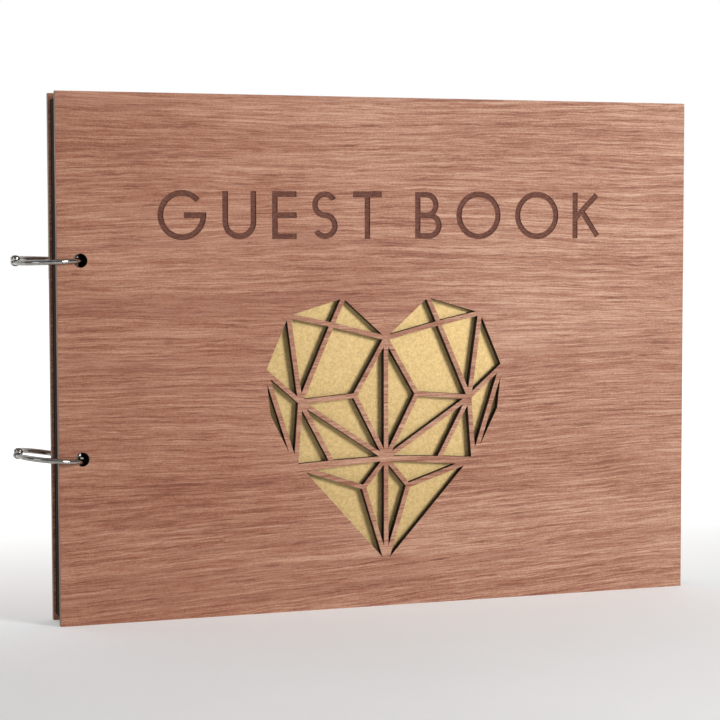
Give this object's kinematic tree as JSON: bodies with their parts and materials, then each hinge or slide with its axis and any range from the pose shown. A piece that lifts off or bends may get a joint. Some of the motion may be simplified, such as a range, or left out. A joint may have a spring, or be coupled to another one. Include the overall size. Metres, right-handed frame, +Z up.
{
  "type": "wedding guest book",
  "caption": "Landscape ring-bound guest book with plywood covers, a cut-out faceted heart over gold card, an engraved title and dark card leaves on two binder rings.",
  "frame": {"origin": "on the resting plane, under the middle of the whole book with its rings (bounding box bottom centre)", "axes": "+X from the spine to the opening edge, +Y from the front cover to the back cover, +Z up the spine"},
  "size_m": [0.297, 0.0294, 0.215],
  "materials": {
    "cover_plywood": "fine sanded reddish-brown hardwood-faced plywood, laser-cut edges scorched dark",
    "gold_card": "gold metallic card with a fine grain",
    "grey_board": "matt grey-brown bookbinding board",
    "leaf_card": "matt black-brown photo card, about 300 g/m2",
    "ring_steel": "nickel-plated spring steel wire"
  },
  "bodies": {
    "back_cover": {"back_cover": "cover_plywood"},
    "front_cover": {"front_cover": "cover_plywood", "gold_card": "gold_card", "backing_board": "grey_board"},
    "leaf_01_body": {"leaf_01": "leaf_card"},
    "leaf_02_body": {"leaf_02": "leaf_card"},
    "leaf_03_body": {"leaf_03": "leaf_card"},
    "leaf_04_body": {"leaf_04": "leaf_card"},
    "leaf_05_body": {"leaf_05": "leaf_card"},
    "leaf_06_body": {"leaf_06": "leaf_card"},
    "leaf_07_body": {"leaf_07": "leaf_card"},
    "leaf_08_body": {"leaf_08": "leaf_card"},
    "leaf_09_body": {"leaf_09": "leaf_card"},
    "leaf_10_body": {"leaf_10": "leaf_card"},
    "leaf_11_body": {"leaf_11": "leaf_card"},
    "leaf_12_body": {"leaf_12": "leaf_card"},
    "leaf_13_body": {"leaf_13": "leaf_card"},
    "leaf_14_body": {"leaf_14": "leaf_card"},
    "leaf_15_body": {"leaf_15": "leaf_card"},
    "leaf_16_body": {"leaf_16": "leaf_card"},
    "leaf_17_body": {"leaf_17": "leaf_card"},
    "leaf_18_body": {"leaf_18": "leaf_card"},
    "leaf_19_body": {"leaf_19": "leaf_card"},
    "leaf_20_body": {"leaf_20": "leaf_card"},
    "upper_ring": {"upper_ring_front_half": "ring_steel", "upper_ring_back_half": "ring_steel", "upper_ring_rivet": "ring_steel"},
    "lower_ring": {"lower_ring_front_half": "ring_steel", "lower_ring_back_half": "ring_steel", "lower_ring_rivet": "ring_steel"}
  },
  "joints": [
    {"name": "front_cover_open", "type": "hinge", "parent": "back_cover", "child": "front_cover", "pos_m": [-0.13295, 0, 0.1075], "axis": [0, 0, -1], "range_deg": [0, 180]},
    {"name": "leaf_01_turn", "type": "hinge", "parent": "back_cover", "child": "leaf_01_body", "pos_m": [-0.13295, 0, 0.1075], "axis": [0, 0, -1], "range_deg": [0, 171.44]},
    {"name": "leaf_02_turn", "type": "hinge", "parent": "back_cover", "child": "leaf_02_body", "pos_m": [-0.13295, 0, 0.1075], "axis": [0, 0, -1], "range_deg": [0, 162.87]},
    {"name": "leaf_03_turn", "type": "hinge", "parent": "back_cover", "child": "leaf_03_body", "pos_m": [-0.13295, 0, 0.1075], "axis": [0, 0, -1], "range_deg": [0, 154.3]},
    {"name": "leaf_04_turn", "type": "hinge", "parent": "back_cover", "child": "leaf_04_body", "pos_m": [-0.13295, 0, 0.1075], "axis": [0, 0, -1], "range_deg": [0, 145.72]},
    {"name": "leaf_05_turn", "type": "hinge", "parent": "back_cover", "child": "leaf_05_body", "pos_m": [-0.13295, 0, 0.1075], "axis": [0, 0, -1], "range_deg": [0, 137.15]},
    {"name": "leaf_06_turn", "type": "hinge", "parent": "back_cover", "child": "leaf_06_body", "pos_m": [-0.13295, 0, 0.1075], "axis": [0, 0, -1], "range_deg": [0, 128.58]},
    {"name": "leaf_07_turn", "type": "hinge", "parent": "back_cover", "child": "leaf_07_body", "pos_m": [-0.13295, 0, 0.1075], "axis": [0, 0, -1], "range_deg": [0, 120.01]},
    {"name": "leaf_08_turn", "type": "hinge", "parent": "back_cover", "child": "leaf_08_body", "pos_m": [-0.13295, 0, 0.1075], "axis": [0, 0, -1], "range_deg": [0, 111.44]},
    {"name": "leaf_09_turn", "type": "hinge", "parent": "back_cover", "child": "leaf_09_body", "pos_m": [-0.13295, 0, 0.1075], "axis": [0, 0, -1], "range_deg": [0, 102.87]},
    {"name": "leaf_10_turn", "type": "hinge", "parent": "back_cover", "child": "leaf_10_body", "pos_m": [-0.13295, 0, 0.1075], "axis": [0, 0, -1], "range_deg": [0, 94.3]},
    {"name": "leaf_11_turn", "type": "hinge", "parent": "back_cover", "child": "leaf_11_body", "pos_m": [-0.13295, 0, 0.1075], "axis": [0, 0, -1], "range_deg": [0, 85.72]},
    {"name": "leaf_12_turn", "type": "hinge", "parent": "back_cover", "child": "leaf_12_body", "pos_m": [-0.13295, 0, 0.1075], "axis": [0, 0, -1], "range_deg": [0, 77.15]},
    {"name": "leaf_13_turn", "type": "hinge", "parent": "back_cover", "child": "leaf_13_body", "pos_m": [-0.13295, 0, 0.1075], "axis": [0, 0, -1], "range_deg": [0, 68.58]},
    {"name": "leaf_14_turn", "type": "hinge", "parent": "back_cover", "child": "leaf_14_body", "pos_m": [-0.13295, 0, 0.1075], "axis": [0, 0, -1], "range_deg": [0, 60.01]},
    {"name": "leaf_15_turn", "type": "hinge", "parent": "back_cover", "child": "leaf_15_body", "pos_m": [-0.13295, 0, 0.1075], "axis": [0, 0, -1], "range_deg": [0, 51.44]},
    {"name": "leaf_16_turn", "type": "hinge", "parent": "back_cover", "child": "leaf_16_body", "pos_m": [-0.13295, 0, 0.1075], "axis": [0, 0, -1], "range_deg": [0, 42.87]},
    {"name": "leaf_17_turn", "type": "hinge", "parent": "back_cover", "child": "leaf_17_body", "pos_m": [-0.13295, 0, 0.1075], "axis": [0, 0, -1], "range_deg": [0, 34.3]},
    {"name": "leaf_18_turn", "type": "hinge", "parent": "back_cover", "child": "leaf_18_body", "pos_m": [-0.13295, 0, 0.1075], "axis": [0, 0, -1], "range_deg": [0, 25.72]},
    {"name": "leaf_19_turn", "type": "hinge", "parent": "back_cover", "child": "leaf_19_body", "pos_m": [-0.13295, 0, 0.1075], "axis": [0, 0, -1], "range_deg": [0, 17.15]},
    {"name": "leaf_20_turn", "type": "hinge", "parent": "back_cover", "child": "leaf_20_body", "pos_m": [-0.13295, 0, 0.1075], "axis": [0, 0, -1], "range_deg": [0, 8.58]},
    {"name": "upper_ring_turn", "type": "hinge", "parent": "back_cover", "child": "upper_ring", "pos_m": [-0.13295, 0, 0.1475], "axis": [0, 0, -1], "range_deg": [0, 90]},
    {"name": "lower_ring_turn", "type": "hinge", "parent": "back_cover", "child": "lower_ring", "pos_m": [-0.13295, 0, 0.06808], "axis": [-0.0696, -0.0699, -0.9951], "range_deg": [0, 90]}
  ],
  "couplings": [
    {"joint": "leaf_01_turn", "follows": "front_cover_open", "ratio": 0.95238},
    {"joint": "leaf_02_turn", "follows": "front_cover_open", "ratio": 0.90476},
    {"joint": "leaf_03_turn", "follows": "front_cover_open", "ratio": 0.85714},
    {"joint": "leaf_04_turn", "follows": "front_cover_open", "ratio": 0.80952},
    {"joint": "leaf_05_turn", "follows": "front_cover_open", "ratio": 0.76191},
    {"joint": "leaf_06_turn", "follows": "front_cover_open", "ratio": 0.71429},
    {"joint": "leaf_07_turn", "follows": "front_cover_open", "ratio": 0.66667},
    {"joint": "leaf_08_turn", "follows": "front_cover_open", "ratio": 0.61905},
    {"joint": "leaf_09_turn", "follows": "front_cover_open", "ratio": 0.57143},
    {"joint": "leaf_10_turn", "follows": "front_cover_open", "ratio": 0.52381},
    {"joint": "leaf_11_turn", "follows": "front_cover_open", "ratio": 0.47619},
    {"joint": "leaf_12_turn", "follows": "front_cover_open", "ratio": 0.42857},
    {"joint": "leaf_13_turn", "follows": "front_cover_open", "ratio": 0.38095},
    {"joint": "leaf_14_turn", "follows": "front_cover_open", "ratio": 0.33333},
    {"joint": "leaf_15_turn", "follows": "front_cover_open", "ratio": 0.28571},
    {"joint": "leaf_16_turn", "follows": "front_cover_open", "ratio": 0.2381},
    {"joint": "leaf_17_turn", "follows": "front_cover_open", "ratio": 0.19048},
    {"joint": "leaf_18_turn", "follows": "front_cover_open", "ratio": 0.14286},
    {"joint": "leaf_19_turn", "follows": "front_cover_open", "ratio": 0.095238},
    {"joint": "leaf_20_turn", "follows": "front_cover_open", "ratio": 0.047619},
    {"joint": "upper_ring_turn", "follows": "front_cover_open", "ratio": 0.5},
    {"joint": "lower_ring_turn", "follows": "front_cover_open", "ratio": 0.5}
  ]
}
